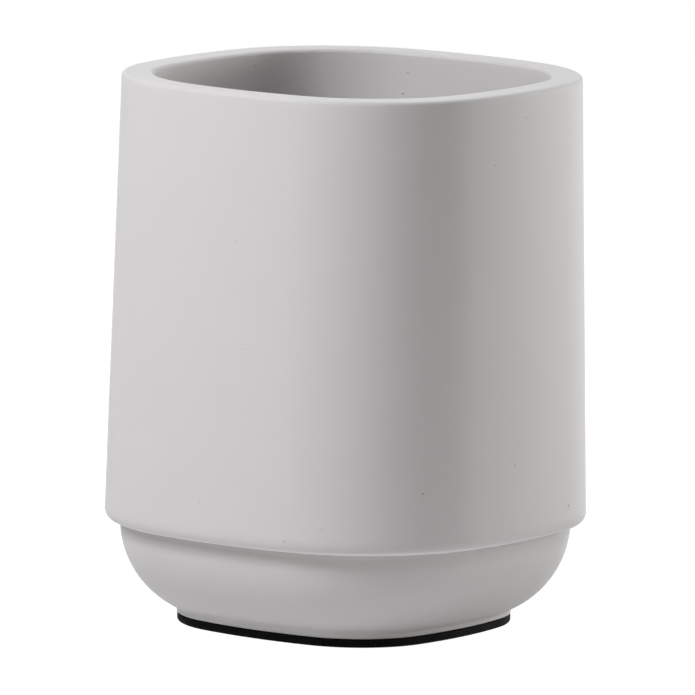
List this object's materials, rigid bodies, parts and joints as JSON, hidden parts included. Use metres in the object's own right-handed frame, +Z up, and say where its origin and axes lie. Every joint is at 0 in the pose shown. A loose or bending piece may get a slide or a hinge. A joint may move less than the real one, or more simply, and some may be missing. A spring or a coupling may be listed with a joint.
{
  "type": "bathroom tumbler",
  "caption": "Cast bathroom tumbler with a soft square plan, thick rounded rim, overhanging skirt over a recessed round base, and a black non-slip foot pad.",
  "frame": {"origin": "middle of the pad's underside, on the surface that the tumbler stands on", "axes": "+Z up along the cup's axis, X and Y square to the sides"},
  "size_m": [0.0812, 0.0812, 0.1],
  "materials": {
    "cast_body": "matte, fine-grained cast mineral, unglazed, light warm grey",
    "adhesive": "thin double-sided adhesive film, milky",
    "pad": "matte black die-cut non-slip sheet"
  },
  "bodies": {
    "root": {"cup_body": "cast_body", "pad_adhesive": "adhesive", "foot_pad": "pad"}
  },
  "joints": []
}
